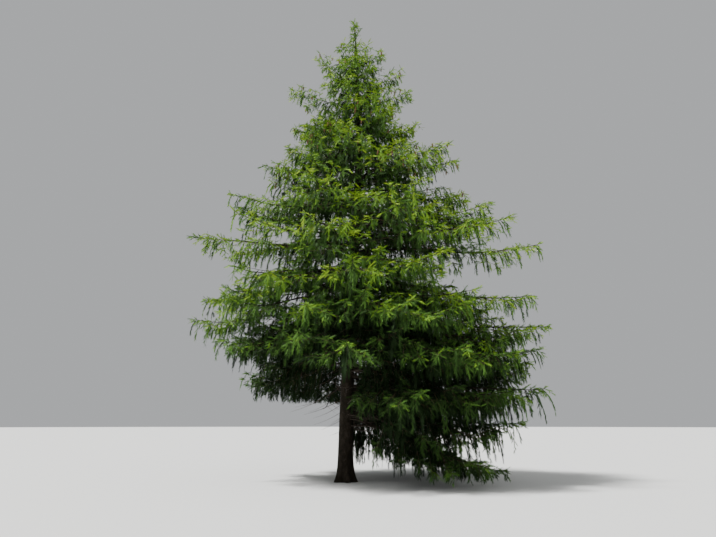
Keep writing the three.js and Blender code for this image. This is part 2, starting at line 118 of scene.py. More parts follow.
# Each tier of boughs leaves the trunk at about one height, each limb a step above the
# one before it. Slopes are in degrees, at the trunk and at the tip. The hang is the
# length of the curtains under its limbs. Each limb is (azimuth in degrees, reach, height
# of its tip). Azimuth 0 is the right of the tree, 90 its back, 180 its left.
TIERS = [
    dict(height=2.05, start=-10, end=2, hang=1.0, sag=1, twigs=4,
         limbs=[(322, 4.4, 0.6), (8, 5.3, 1.6), (46, 4.7, 0.85), (84, 4.0, 1.1)]),
    dict(height=3.1, start=-2, end=8, hang=1.0, sag=1, twigs=4,
         limbs=[(298, 3.9, 2.3), (347, 5.5, 2.5), (30, 5.7, 2.4), (78, 4.9, 2.2), (156, 3.2, 2.85)]),
    dict(height=4.0, start=2, end=10, hang=1.0, sag=1, twigs=4,
         limbs=[(326, 5.1, 3.3), (14, 5.9, 3.45), (118, 4.7, 3.4), (203, 3.9, 3.8), (252, 3.9, 3.7)]),
    dict(height=4.8, start=4, end=8, hang=1.0, sag=0.8, twigs=4,
         limbs=[(0, 5.95, 4.4), (62, 5.2, 4.3), (188, 4.6, 4.5), (290, 4.3, 4.4)]),
    dict(height=5.7, start=6, end=10, hang=1.0, sag=0.8, twigs=4,
         limbs=[(344, 5.2, 5.05), (100, 4.9, 5.3), (168, 4.95, 5.45), (228, 4.4, 5.4), (270, 4.1, 5.4)]),
    dict(height=6.7, start=8, end=12, hang=0.95, sag=0.7, twigs=4,
         limbs=[(353, 5.5, 6.75), (60, 5.0, 6.7), (132, 4.8, 6.8), (190, 4.9, 6.95), (328, 4.9, 6.95)]),
    dict(height=7.7, start=12, end=14, hang=0.9, sag=0.6, twigs=4,
         limbs=[(10, 4.5, 8.05), (92, 4.2, 8.0), (192, 3.9, 8.3), (250, 3.7, 7.9)]),
    dict(height=8.7, start=18, end=20, hang=0.85, sag=0.4, twigs=4,
         limbs=[(24, 4.1, 9.05), (122, 3.5, 9.3), (176, 3.0, 9.7), (294, 3.0, 9.1)]),
    dict(height=9.6, start=22, end=26, hang=0.8, sag=0.3, twigs=4,
         limbs=[(354, 2.9, 10.2), (70, 2.7, 10.3), (238, 2.4, 10.2)]),
    dict(height=10.5, start=28, end=30, hang=0.75, sag=0.2, twigs=4,
         limbs=[(18, 1.95, 11.15), (160, 2.3, 11.25), (286, 1.9, 11.1)]),
    dict(height=11.4, start=30, end=32, hang=0.7, sag=0.2, twigs=3,
         limbs=[(340, 1.75, 11.95), (90, 1.7, 12.1), (186, 2.2, 12.2)]),
    dict(height=12.3, start=32, end=36, hang=0.6, sag=0.1, twigs=3,
         limbs=[(6, 1.5, 13.0), (174, 1.38, 13.6), (268, 1.1, 12.9)]),
    dict(height=13.15, start=30, end=30, hang=0.5, sag=0.1, twigs=3,
         limbs=[(2, 0.95, 13.7), (200, 0.6, 13.8)]),
]

# Boughs between those of the solids, kept within their reach. The low tiers have more of
# them, which reach further, and none where the crown is open on the left.
LOW_TIERS = 3
BETWEEN_STEP = 32
BETWEEN_STEP_LOW = 18
BETWEEN_SHIFT = 0.2
BETWEEN_REACH = (0.7, 0.96)
BETWEEN_REACH_LOW = (0.8, 1)
BETWEEN_LIFT = (-0.4, 0.6)
BETWEEN_SEED = 3000
WIDEST_LOW_GAP = 90

# Shorter boughs above them, but none before the trunk where it shows.
ABOVE_LIFTS = [(0.36, 0.62)]
ABOVE_LIFTS_LOW = [(0.2, 0.4), (0.5, 0.75)]
ABOVE_REACH = (0.58, 0.82)
ABOVE_REACH_LOW = (0.72, 0.97)
ABOVE_TURN = 25
ABOVE_RISE = 5
ABOVE_SEED = 6000
OPEN_FRONT = (197, 300)

# Short boughs all up the trunk.
INNER_LIMBS = 80
INNER_LOWER = 1.35
INNER_HEIGHTS = (4.1, 13.4)
INNER_REACH = (0.4, 0.7)
INNER_RISE = 6
INNER_SEED = 12000

# How the added boughs differ from those of the solids, and how all boughs bend.
TOP_NARROWS = ([9.5, 12], [1, 0.62])
SHAPE_SEED = 700
SHAPE_START = (-9, 9)
SHAPE_END = (-8, 14)
SHAPE_WANDER = 0.08
BEND_SEED = 800
LIMB_BEND = 0.018
LIMB_WAVES = (1.2, 2.2)
RISE_TO_SWAY = 0.7
OUTER_PART = (0.75, 1)

# Side branches of a bough. They hang fully from a length of two metres on, and are left
# out where one of the checked shares of them lies before a gap.
BRANCHES_PER_METRE = 2.6
BRANCH_CHECKS = (0.5, 0.8, 1)
BRANCH_STEP = 3
BRANCH_SIDES = 3
FULL_HANG_LENGTH = 2
PATH_POINTS = 13
BRANCH_BARE = 0.06
BRANCH_TAPER = 0.8
BRANCH_HANG = (0.35, 0.6)
BRANCH_TIP_RISE = 0.05
BRANCH_SAG = 0.1
LOW_HANG = 1.45
SPIRE_FOOT = 11.0
SPIRE_NARROWS = ([8.5, 12, 14, 15], [1, 0.75, 0.62, 0.4])

# Branchlets of a bough or branch, per metre of it, and their lengths from its foot to its
# tip. Where a tip range is passed, a branchlet stands to the side instead of hanging.
LIMB_BARE = 0.16
LIMB_BRANCHLETS = 25.0
TWIG_BRANCHLETS = 14.0
SPIRE_BRANCHLETS = 48.0
FEWEST_BRANCHLETS = 4
BRANCHLET_KINDS = ("left", "hanging", "upper", "right", "hanging", "upper", "hanging")
BRANCHLET_SHIFT = 0.3
BRANCHLET_SIDE = (0.42, 0.3)
BRANCHLET_VARIES = (0.4, 1.15)
UPPER_SHARE = 0.75
OUTER_BIAS = 0.58
TIP_HANGS = (0.7, 1.25)
HANG_PROFILE = ([0, 0.2, 0.85, 1], [0.75, 1, 0.72, 0.5])
HANG_BEND = 0.95
SIDE_BEND = (0.3, 0.8)
SIDE_ANGLE = (40, 68)
SIDE_SAG = 0.35
SIDE_ROLL = 0.35
UPRIGHT_ROLL = 3.0
SWAY = 0.4
HANG_AHEAD = (0.1, 0.8)
HANG_DOWN = 0.8
UPPER_AHEAD = 0.7
UPPER_RISE = (0.25, 0.9)
UPPER_SWAY = 2
BRANCHLET_RADIUS = (0.0035, 0.004)
BRANCHLET_DRAWN = 0.8

# Room of the foliage: its lowest height, on the right and on the left of the trunk, the
# bare space round the lower trunk, and the distance it may pass the box of the solids.
LOWEST_FOLIAGE = 0.1
LOWEST_LEFT = 2.3
LEAST_ROOM = 0.05
BARE_REACH = 0.85
BARE_HEIGHT = 4.3
EDGE = 0.03
SHOOT_EDGE = 0.12
CROWN_RADIUS = ([0, 5, 9, 12, 15], [5.4, 5.6, 3.6, 1.9, 0.5])

# Gaps in the crown and notches in its edge where the photo shows sky: the place of each in
# the upright plane of the trunk, as seen from the front, and half its width and height.
SKY_GAPS = [
    (-1.95, 7.14, 0.3, 0.16),
    (-2.6, 6.25, 0.42, 0.22),
    (-1.6, 5.3, 0.38, 0.18),
    (-2.3, 4.65, 0.26, 0.15),
    (4.15, 5.94, 0.75, 0.26),
    (4.75, 4.82, 0.5, 0.13),
    (3.4, 9.15, 0.6, 0.36),
    (2.6, 10.75, 0.45, 0.28),
]

# Light that reaches a place from outside, and metres of branchlet that one cell holds.
LIGHT_CELL = 0.22
LIGHT_PACES = 8
LIGHT_STEEPNESS = (0.5, 1.2, 4)
LIGHT_LOSS = 0.38
CROWD_LIMITS = ([3.5, 6.5, 9, 10, 12], [0.85, 0.36, 0.43, 0.7, 1.4])
CROWD_BY_LIGHT = (0.54, 1.24)

# Shoots and their needles. Shaded ones are fewer and coarser. Lengths are from the foot
# of the branchlet to its tip.
COARSE_BELOW = 0.6
COARSE_REACH = 1.9
COARSE_SHARE = 0.24
SHOOT_STEP = 0.22
SHOOT_SHIFTS = (0.6, 0.4)
LOOK_AHEAD = 0.02
SHOOT_OVERLAP = 1.15
SIDE_SHOOTS_PER_METRE = 11.0
SIDE_SHOOT = (0.17, 0.09)
STRANDS_PER_METRE = 10.5
STRAND = (0.2, 0.1)
SHOOT_VARIES = (0.6, 1.2)
SHOOT_ANGLE = (35, 60)
STRAND_CLOSES = 0.65
STRAND_SAG = 0.3
SHOOT_STRAYS = 0.12
NEEDLE_ROWS = 2
NEEDLE_FOLD = 150
AXIS_TEETH = 5
SIDE_TEETH = 4
NEEDLE_REACH = 0.031
NEEDLE_VARIES = (0.75, 1.2)
NEEDLE_TAPER = (1.25, 0.5)
NEEDLE_LEAN = (1.8, 2.6)
NEEDLE_OVERHANG = 1.35
LARGEST_PIECE = 190_000

# How light the needles are: random tone by bough, spray and shoot, painted shade lower down and near the
# trunk of the low crown, and lighter new growth towards the tip.
BRANCH_SHADE = 0.1
SPRAY_SHADE = 0.05
SHOOT_SHADE = 0.03
SHADE_BY_HEIGHT = ([1.5, 5], [-0.24, -0.03])
INNER_SHADE = 0.5
INNER_SHADE_HEIGHTS = ([3, 5], [1, 0])
TIP_LIGHT = 0.26
HANGING_TIP_LIGHT = 0.04

# Kinds of needles: name, share of the shoots that are darker, and two near colours. The kinds are shaded
# and lit copies of one green, mostly painted shade and painted sunlight, with some random tone and
# lighter new growth at the tips. Then the two values of the noise between which one drifts into the
# other.
NEEDLE_KINDS = [
    ("needles_deep_shade", 0.0, (0.006, 0.014, 0.004), (0.012, 0.028, 0.007)),
    ("needles_shaded", 0.24, (0.019, 0.045, 0.009), (0.03, 0.07, 0.013)),
    ("needles_half_shade", 0.5, (0.047, 0.11, 0.017), (0.07, 0.155, 0.022)),
    ("needles_sunlit", 0.77, (0.105, 0.21, 0.02), (0.15, 0.28, 0.024)),
    ("needles_sunlit_yellow", 0.95, (0.2, 0.31, 0.022), (0.27, 0.4, 0.028)),
]
NEEDLE_STOPS = (0.35, 0.68)

# Barks: three shades from dark to light, scale of the pattern and strength of its bump. The bark of
# trunk and boughs is its own brown darkened further, as painted shade from the crown.
BARKS = dict(
    bark=([(0.01, 0.007, 0.004), (0.022, 0.017, 0.011), (0.05, 0.04, 0.029)], 9, 0.8),
    twig_bark=([(0.04, 0.026, 0.016), (0.09, 0.06, 0.038), (0.16, 0.11, 0.07)], 20, 0.4),
    dead_bark=([(0.03, 0.022, 0.017), (0.07, 0.055, 0.043), (0.13, 0.11, 0.09)], 25, 0.3),
    cone_scales=([(0.08, 0.045, 0.02), (0.16, 0.095, 0.045), (0.27, 0.17, 0.085)], 14, 0.3),
)
BARK_STOPS = (0.3, 0.5, 0.72)
BARK_WARP = 0.09
WARP_FINENESS = 2
PLATE_FINENESS = 4

# Relief of the bark.
TRUNK_SIDES = 104
TRUNK_RINGS = (260, 110)
FINE_HEIGHT = 4.6
PLATE_COLUMNS = 30
PLATES_PER_METRE = 15
PLATE_STRAYS = (0.1, 0.9)
PLATE_LIFT = 0.004
CRACK_DEPTH = 0.008
CRACK_WIDTH = 0.3
CRACK_POWER = 0.6
SMALLEST_BARKED = 0.12
BOUGH_RINGS = 16
BOUGH_SIDES = 6
BOUGH_UNEVEN = (0.9, 1.1)
COLLAR_SWELL = 0.5
COLLAR_LENGTH = 0.25

# Cones.
CONE_COUNT = 210
CONE_FLOOR = 8.8
CONE_OUTWARD = 0.45
CONE_PLACES = (0.55, 0.95)
CONE_TILT = 0.1
CONE_LENGTH = (0.11, 0.17)
CONE_GIRTH = 0.15
CONE_RINGS = 9
CONE_SIDES = 6
CONE_PROFILE = ([0, 0.08, 0.35, 0.7, 1], [0.15, 0.75, 1, 0.8, 0.12])
CONE_SCALES = (0.8, 1.15)

# Dead twigs on the lower trunk, most of them on its right, and their spurs.
DEAD_TWIGS = 80
DEAD_HEIGHTS = (1.3, 4.6)
DEAD_AZIMUTH = (10, 50)
DEAD_LENGTH = (0.5, 1.9)
DEAD_RISE = (0.02, 0.12)
DEAD_WANDER = 0.03
DEAD_FALL = 0.12
DEAD_THICKNESS = (0.005, 0.006)
DEAD_TAPER = 0.85
DEAD_RINGS = 6
DEAD_SIDES = 4
SPURS = 7
SPUR_PLACES = (0.25, 0.98)
SPUR_LENGTH = (0.12, 0.5)
SPUR_WAY = (0.7, 0.8)
SPUR_STRAYS = 0.25
SPUR_RADII = (0.0035, 0.001)

# Floor and camera, in the tree's frame: an eye height of 1.6 m, looking up a little.
FLOOR_RADIUS = 250
FLOOR_SIDES = 96
FLOOR_COLOUR = (0.62, 0.62, 0.6, 1)
CAMERA_PLACE = (0.365, -17.7, 1.6)
CAMERA_PITCH = 14.53
FOCAL_PIXELS = 596
PHOTO_WIDTH = 716
SENSOR_WIDTH = 36

# Far lamps: name, strength, softness in degrees and direction. Then the pale air.
SUNS = [
    ("key", 7.8, 8, (0.5, 0.16, -0.95)),
    ("fill", 0.5, 60, (-0.3, 0.6, -0.5)),
]
AIR_COLOUR = (0.84, 0.86, 0.88, 1)
AIR_STRENGTH = 0.55


def seeded(seed):
    """Repeatable draws between 0 and 1, the same as the solids' own."""
    mask = 0xFFFFFFFF
    state = seed & mask

    def draw():
        nonlocal state
        state = (state + 0x6D2B79F5) & mask
        mixed = ((state ^ (state >> 15)) * (state | 1)) & mask
        mixed ^= (mixed + (mixed ^ (mixed >> 7)) * (mixed | 61)) & mask
        return ((mixed ^ (mixed >> 14)) & mask) / 2 ** 32

    return draw


def mix(low, high, share):
    """The value at a share of the way from one to another."""
    return low + (high - low) * share


def unit(vectors):
    """Vectors scaled to length one."""
    return vectors / np.maximum(np.linalg.norm(vectors, axis=-1, keepdims=True), SMALLEST)


def level_across(ways):
    """The level direction square to each way, or any one for an upright way."""
    across = np.stack([-ways[..., 1], ways[..., 0], np.zeros_like(ways[..., 0])], axis=-1)
    upright = np.linalg.norm(across, axis=-1, keepdims=True) < UPRIGHT_BELOW
    return unit(np.where(upright, np.array([0.0, 1.0, 0.0]), across))


def turned(vector, axis, angle):
    """A vector turned about a unit axis."""
    cross = np.cross(axis, vector)
    along = axis * np.dot(axis, vector)
    return vector * math.cos(angle) + cross * math.sin(angle) + along * (1 - math.cos(angle))


def numbered(counts):
    """For so many items per owner: the owner of each item and its number there."""
    owner = np.repeat(np.arange(len(counts)), counts)
    return owner, np.arange(len(owner)) - np.repeat(np.cumsum(counts) - counts, counts)


def select(things, keep):
    """The same arrays with only the chosen rows."""
    return {key: value[keep] for key, value in things.items()}


def trunk_axis(z):
    """Middle of the trunk at a height."""
    swing = np.sin(np.pi * np.asarray(z) / (2 * LEAN_HEIGHT))
    return np.stack([LEAN * swing ** 2, np.zeros_like(swing), np.asarray(z, float)], axis=-1)


def trunk_radius(z):
    """Radius of the trunk at a height, without its root lobes."""
    left = np.maximum(0, 1 - z / TREE_HEIGHT)
    shaft = TRUNK_TIP_RADIUS + (TRUNK_RADIUS - TRUNK_TIP_RADIUS) * left ** TAPER_POWER
    return shaft + FLARE * np.exp(-z / FLARE_HEIGHT)


def from_trunk(points):
    """Level distance of points from the middle of the trunk."""
    return np.linalg.norm((points - trunk_axis(points[:, 2]))[:, :2], axis=1)


def curve_point(curve, t):
    """Points of a cubic curve."""
    t = np.asarray(t, float)[..., None]
    s = 1 - t
    return s ** 3 * curve[0] + 3 * s * s * t * curve[1] + 3 * s * t * t * curve[2] + t ** 3 * curve[3]


def curve_way(curve, t):
    """Unit directions of a cubic curve."""
    t = np.asarray(t, float)[..., None]
    s = 1 - t
    steps = np.diff(curve, axis=0)
    return unit(s * s * steps[0] + 2 * s * t * steps[1] + t * t * steps[2])


def limb_curve(limb):
    """The curve of a limb from the middle of the trunk to its tip, bowed a little sideways."""
    azimuth = limb["azimuth"]
    out = np.array([math.cos(azimuth), math.sin(azimuth), 0.0])
    root = trunk_axis(limb["height"])
    tip = root + out * limb["reach"]
    tip[2] = limb["tip_height"]
    handle = np.linalg.norm(tip - root) / 3
    bow = level_across(out) * limb["wander"]
    leave = out * math.cos(limb["start"]) + UP * math.sin(limb["start"])
    arrive = out * math.cos(limb["end"]) + UP * math.sin(limb["end"])
    return np.array([root, root + leave * handle + bow, tip - arrive * handle + bow, tip])


def tier_limb(tier_number, tier, k):
    """One limb of the solids from the table of tiers."""
    azimuth, reach, tip_height = tier["limbs"][k]
    seed = TIER_SEED_STEP * tier_number + k
    wander = reach * mix(-LIMB_WANDER, LIMB_WANDER, seeded(seed + WANDER_SEED)())
    limb = dict(
        seed=seed, tier=tier_number, reach=reach, tip_height=tip_height, wander=wander,
        height=tier["height"] + k * WHORL_STEP, azimuth=azimuth * DEGREE,
        start=tier["start"] * DEGREE, end=tier["end"] * DEGREE,
        thickness=reach * LIMB_SLENDERNESS, spread=TWIG_EXTRA + reach * TWIG_LENGTH,
        hang=tier["hang"], sag=SAG * tier["sag"], twigs=tier["twigs"],
        bare=STEM_BARE, whorl=0.0)
    limb["curve"] = limb_curve(limb)
    return limb


def solid_limbs():
    """All limbs of the solids."""
    return [tier_limb(number, tier, k)
            for number, tier in enumerate(TIERS, start=1) for k in range(len(tier["limbs"]))]


def like(limb, seed, azimuth, lift, reach, rise=0.0):
    """Another bough like a given one, a little shorter and off to its side or above it."""
    random = seeded(seed + SHAPE_SEED)
    slope = (limb["tip_height"] - limb["height"]) / limb["reach"]
    reach *= float(np.interp(limb["height"] + lift, *TOP_NARROWS))
    other = dict(limb, seed=seed, azimuth=azimuth, height=limb["height"] + lift, reach=reach, twigs=0)
    other["tip_height"] = other["height"] + (slope + math.tan(rise)) * reach
    other["start"] = limb["start"] + rise + mix(*SHAPE_START, random()) * DEGREE
    other["end"] = limb["end"] + rise + mix(*SHAPE_END, random()) * DEGREE
    other["wander"] = reach * mix(-SHAPE_WANDER, SHAPE_WANDER, random())
    other["thickness"] = reach * LIMB_SLENDERNESS
    other["spread"] = TWIG_EXTRA + reach * TWIG_LENGTH
    other["curve"] = limb_curve(other)
    return other


def limbs_between(limbs):
    """Boughs in the gaps between neighbours of one tier."""
    made = []
    for tier in range(1, len(TIERS) + 1):
        low = tier <= LOW_TIERS
        step = BETWEEN_STEP_LOW if low else BETWEEN_STEP
        reaches = BETWEEN_REACH_LOW if low else BETWEEN_REACH
        ring = sorted((limb for limb in limbs if limb["tier"] == tier), key=lambda limb: limb["azimuth"])
        for a, b in zip(ring, ring[1:] + ring[:1]):
            gap = (b["azimuth"] - a["azimuth"]) % (2 * math.pi)
            if low and gap > WIDEST_LOW_GAP * DEGREE:
                continue
            count = round(gap / DEGREE / step) - 1
            for k in range(count):
                random = seeded(BETWEEN_SEED + a["seed"] + SLOT_SEED_STEP * k)
                share = (k + 1 + mix(-BETWEEN_SHIFT, BETWEEN_SHIFT, random())) / (count + 1)
                nearest = a if share < 0.5 else b
                reach = mix(a["reach"], b["reach"], share) * mix(*reaches, random())
                lift = mix(*BETWEEN_LIFT, len(made) * GOLDEN_SHARE % 1)
                azimuth = a["azimuth"] + gap * share
                seed = BETWEEN_SEED + LIMB_SEED_STEP * len(made)
                made.append(like(nearest, seed, azimuth, lift, reach))
    return made


def limbs_above(limbs):
    """Shorter boughs on the way up to the next tier, above each bough of the solids."""
    made = []
    for limb in limbs:
        low = limb["tier"] <= LOW_TIERS
        for lifts in (ABOVE_LIFTS_LOW if low else ABOVE_LIFTS):
            seed = ABOVE_SEED + LIMB_SEED_STEP * len(made)
            random = seeded(seed)
            azimuth = limb["azimuth"] + mix(-ABOVE_TURN, ABOVE_TURN, random()) * DEGREE
            in_front = OPEN_FRONT[0] < azimuth / DEGREE % 360 < OPEN_FRONT[1]
            if limb["tier"] < LOW_TIERS and in_front:
                continue
            lift = mix(*lifts, random())
            reach = limb["reach"] * mix(*(ABOVE_REACH_LOW if low else ABOVE_REACH), random())
            made.append(like(limb, seed, azimuth, lift, reach, rise=ABOVE_RISE * DEGREE))
    return made


def limbs_inside(limbs):
    """Short boughs all up the trunk between the tiers, which close the middle of the crown."""
    made = []
    for k in range(INNER_LIMBS):
        seed = INNER_SEED + LIMB_SEED_STEP * k
        random = seeded(seed)
        height = mix(*INNER_HEIGHTS, ((k + random()) / INNER_LIMBS) ** INNER_LOWER)
        tier = sum(1 for tier in TIERS if tier["height"] <= height)
        ring = [limb for limb in limbs if limb["tier"] == tier]
        reach = sum(limb["reach"] for limb in ring) / len(ring) * mix(*INNER_REACH, random())
        lift = height - ring[0]["height"]
        made.append(like(ring[0], seed, k * GOLDEN_ANGLE, lift, reach, rise=INNER_RISE * DEGREE))
    return made


def added_limbs(limbs):
    """All boughs that the solids lack, but for those that would end in a gap of the crown."""
    added = [*limbs_between(limbs), *limbs_above(limbs), *limbs_inside(limbs)]
    return [limb for limb in added if not before_sky(limb_point(limb, OUTER_PART)).any()]


def leader():
    """The leading shoot above the trunk, with side shoots all round it."""
    bottom = trunk_axis(TRUNK_TOP + SEAT_GAP)
    top = trunk_axis(LEADER_TOP)
    curve = np.array([mix(bottom, top, share) for share in THIRDS])
    return dict(seed=LEADER_SEED, tier=len(TIERS) + 1, reach=LEADER_TOP - TRUNK_TOP, curve=curve,
                thickness=TRUNK_TIP_RADIUS, spread=0.5, hang=0.25, sag=-0.4, twigs=5, bare=0.1,
                whorl=77 * DEGREE)


def spire():
    """The top of the trunk as a carrier of short side shoots all round it."""
    curve = np.array([trunk_axis(mix(SPIRE_FOOT, TRUNK_TOP, share)) for share in THIRDS])
    return dict(leader(), seed=SPIRE_SEED, reach=TRUNK_TOP - SPIRE_FOOT, curve=curve,
                spread=0.6, sag=0.1, twigs=0)


def limb_point(limb, t):
    """Points of a limb, which bends gently to and fro about its curve."""
    t = np.asarray(t, float)
    random = seeded(limb["seed"] + BEND_SEED)
    waves = mix(*LIMB_WAVES, random())
    size = LIMB_BEND * limb["reach"] * np.sin(np.pi * t)
    sway = size * np.sin(2 * np.pi * (waves * t + random()))
    rise = RISE_TO_SWAY * size * np.sin(2 * np.pi * (waves * t + random()))
    across = level_across(limb["curve"][3] - limb["curve"][0])
    return curve_point(limb["curve"], t) + across * sway[..., None] + UP * rise[..., None]


def twig_plan(limb, k, count, random):
    """Where one side twig leaves its limb, which way it goes, how far and how thick."""
    def draw(low, high):
        return mix(low, high, random())

    share = (k + 0.5) / count
    shift = draw(-TWIG_SHIFT, TWIG_SHIFT)
    t = mix(mix(limb["bare"], 1, TWIG_FIRST), TWIG_LAST, share) + shift
    along = curve_way(limb["curve"], t)
    side = 1 if (k + limb["seed"]) % 2 == 0 else -1
    angle = (TWIG_ANGLE - TWIG_ANGLE_FALL * share + draw(-TWIG_TURN, TWIG_TURN)) * DEGREE
    full = limb["spread"] * (1 - TWIG_FALL * share) * draw(*TWIG_VARIES)
    across = turned(level_across(along), along, k * limb["whorl"])
    way = along * math.cos(angle) + across * side * math.sin(angle)
    way = unit(way + DOWN * limb["sag"] * draw(*SAG_VARIES))
    thickness = limb["thickness"] * (1 - LIMB_TAPER * t) * TWIG_THICKNESS
    return limb_point(limb, t), way, max(TWIG_SHORTEST, full), thickness


def side_branches(limb):
    """The side twigs of the solids, and finer ones between them by the same rule."""
    random = seeded(limb["seed"])
    plans = [twig_plan(limb, k, limb["twigs"], random) for k in range(limb["twigs"])]
    finer = round(limb["reach"] * BRANCHES_PER_METRE)
    random = seeded(limb["seed"] + FINER_SEED)
    plans += [twig_plan(limb, k, finer, random) for k in range(finer)]
    return plans


def grow_carriers(limbs):
    """Paths, radii and facts of all that carries branchlets: the limbs, then their branches.

    The facts are its length, the length of what hangs from it, its branchlets per metre,
    its bare share at the foot, and 1 where it's upright.
    """
    u = np.linspace(0, 1, PATH_POINTS)
    checks = np.array(BRANCH_CHECKS)[:, None]
    paths, radii, facts = [], [], []
    hangs = [limb["hang"] * (LOW_HANG if limb["tier"] < LOW_TIERS else 1) for limb in limbs]
    for limb, hang in zip(limbs, hangs):
        upright = limb["whorl"] > 0
        paths.append(limb_point(limb, u))
        radii.append(limb["thickness"] * (1 - LIMB_TAPER * u))
        density = SPIRE_BRANCHLETS if upright else LIMB_BRANCHLETS
        facts.append((limb["reach"], hang, density, 0 if upright else LIMB_BARE, upright))
    for limb, hang in zip(limbs, hangs):
        for start, way, length, thickness in side_branches(limb):
            if before_sky(start + way * length * checks).any():
                continue
            if limb["whorl"] > 0:
                length *= np.interp(start[2], *SPIRE_NARROWS)
            lift = length * (BRANCH_TIP_RISE * u * u - BRANCH_SAG * np.sin(np.pi * u) * limb["sag"])
            paths.append(start + way * (length * u)[:, None] + UP * lift[:, None])
            radii.append(thickness * (1 - BRANCH_TAPER * u))
            under = hang * mix(*BRANCH_HANG, min(1, length / FULL_HANG_LENGTH))
            facts.append((length, under, TWIG_BRANCHLETS, BRANCH_BARE, 0))
    return np.array(paths), np.array(radii), np.array(facts)


def along_paths(paths, which, u):
    """Points and directions at shares of the paths."""
    last = paths.shape[1] - 1
    place = np.clip(u, 0, JUST_BELOW_ONE) * last
    k = place.astype(int)
    near = paths[which, k]
    far = paths[which, k + 1]
    return near + (far - near) * (place - k)[:, None], unit(far - near)


def grow_branchlets(paths, facts, random):
    """Branchlets that stand left and right of their carrier, rise from it or hang under it."""
    reach, hang, density, bare, upright = facts.T
    counts = np.maximum(FEWEST_BRANCHLETS, np.round(reach * density)).astype(int)
    which, k = numbered(counts)
    count = len(k)
    share = (k + 0.5 + random.uniform(-BRANCHLET_SHIFT, BRANCHLET_SHIFT, count)) / counts[which]
    u = mix(bare[which], 1, np.clip(share, 0, 1) ** OUTER_BIAS)
    start, along = along_paths(paths, which, u)
    kind = np.array(BRANCHLET_KINDS)[k % len(BRANCHLET_KINDS)]
    hangs = (kind == "hanging") & (u < random.uniform(*TIP_HANGS, count))
    rises = kind == "upper"
    side = np.where((kind == "left") | ((kind == "hanging") & (k % 2 == 0)), 1.0, -1.0)
    way = branchlet_ways(along, side, hangs, rises, upright[which] > 0, random)
    full = mix(*BRANCHLET_SIDE, u) * np.where(rises, UPPER_SHARE, 1)
    length = np.where(hangs, hang[which] * np.interp(u, *HANG_PROFILE), full)
    length = length * random.uniform(*BRANCHLET_VARIES, count) * np.interp(start[:, 2], *SPIRE_NARROWS)
    bend = np.where(hangs, HANG_BEND, random.uniform(*SIDE_BEND, count))
    grown = dict(start=start, way=way, length=length, bend=bend, which=which, hangs=hangs)
    grown["outward"] = np.clip(from_trunk(start) / np.interp(start[:, 2], *CROWN_RADIUS), 0, 1)
    return thinned(kept_to_crown(grown), random)


def branchlet_ways(along, side, hangs, rises, upright, random):
    """Directions of branchlets: to the left and right, steeply up or hanging forward."""
    count = len(side)
    angle = random.uniform(*SIDE_ANGLE, count) * DEGREE
    roll = random.normal(0, 1, count) * np.where(upright, UPRIGHT_ROLL, SIDE_ROLL)
    level = level_across(along)
    above = np.cross(along, level)
    across = level * np.cos(roll)[:, None] + above * np.sin(roll)[:, None]
    flat = along * np.cos(angle)[:, None] + across * (side * np.sin(angle))[:, None]
    flat += DOWN * random.uniform(0, SIDE_SAG, count)[:, None]
    sway = level * random.uniform(-SWAY, SWAY, count)[:, None]
    under = along * random.uniform(*HANG_AHEAD, count)[:, None] + sway + DOWN * HANG_DOWN
    over = along * UPPER_AHEAD + sway * UPPER_SWAY + UP * random.uniform(*UPPER_RISE, count)[:, None]
    way = np.where(hangs[:, None], under, flat)
    return unit(np.where(rises[:, None], over, way))


def branchlet_point(b, rows, u):
    """Points of branchlets that bend down under their own weight."""
    fall = b["bend"][rows] * u * u / 2
    reach = b["length"][rows]
    ahead = (reach * (u - fall))[:, None]
    return b["start"][rows] + b["way"][rows] * ahead + DOWN * (reach * fall)[:, None]


def branchlet_share(b, u):
    """The point at one share of every branchlet."""
    rows = np.arange(len(b["length"]))
    return branchlet_point(b, rows, np.full(len(rows), u))


def kept_to_crown(b):
    """Shortens branchlets that come too low, and leaves out those that leave the crown."""
    tips = branchlet_share(b, 1.0)
    foot = b["start"][:, 2]
    lowest = np.where(tips[:, 0] < 0, LOWEST_LEFT, LOWEST_FOLIAGE)
    low = tips[:, 2] < lowest
    room = (foot - lowest) / np.maximum(foot - tips[:, 2], SMALLEST)
    b["length"] = b["length"] * np.where(low, np.clip(room, 0, 1), 1)
    inside_low = np.array(CAD_BOX[0]) - [EDGE, EDGE, TREE_HEIGHT]
    inside_high = np.array(CAD_BOX[1]) + [EDGE, EDGE, 0]
    inside = np.all((tips > inside_low) & (tips < inside_high), axis=1)
    by_trunk = (from_trunk(tips) < BARE_REACH) & (tips[:, 2] < BARE_HEIGHT)
    left_out = by_trunk | before_sky(branchlet_share(b, 0.5)) | (low & (room < LEAST_ROOM))
    return select(b, inside & ~left_out)


def before_sky(points):
    """Whether points lie in front of or behind a gap of the crown, seen from the camera."""
    eye = np.array(CAMERA_PLACE)
    seen = points - eye
    seen = eye + seen * (-eye[1] / seen[:, 1])[:, None]
    found = np.zeros(len(points), bool)
    for x, z, half_width, half_height in SKY_GAPS:
        found |= np.hypot((seen[:, 0] - x) / half_width, (seen[:, 2] - z) / half_height) < 1
    return found


def thinned(b, random):
    """Leaves out branchlets where they crowd, most of all in the dark of the crown."""
    light, crowd = light_and_crowd(b)
    b["open"] = light
    limit = np.interp(b["start"][:, 2], *CROWD_LIMITS) * mix(*CROWD_BY_LIGHT, light)
    return select(b, random.uniform(0, 1, len(light)) < limit / crowd)


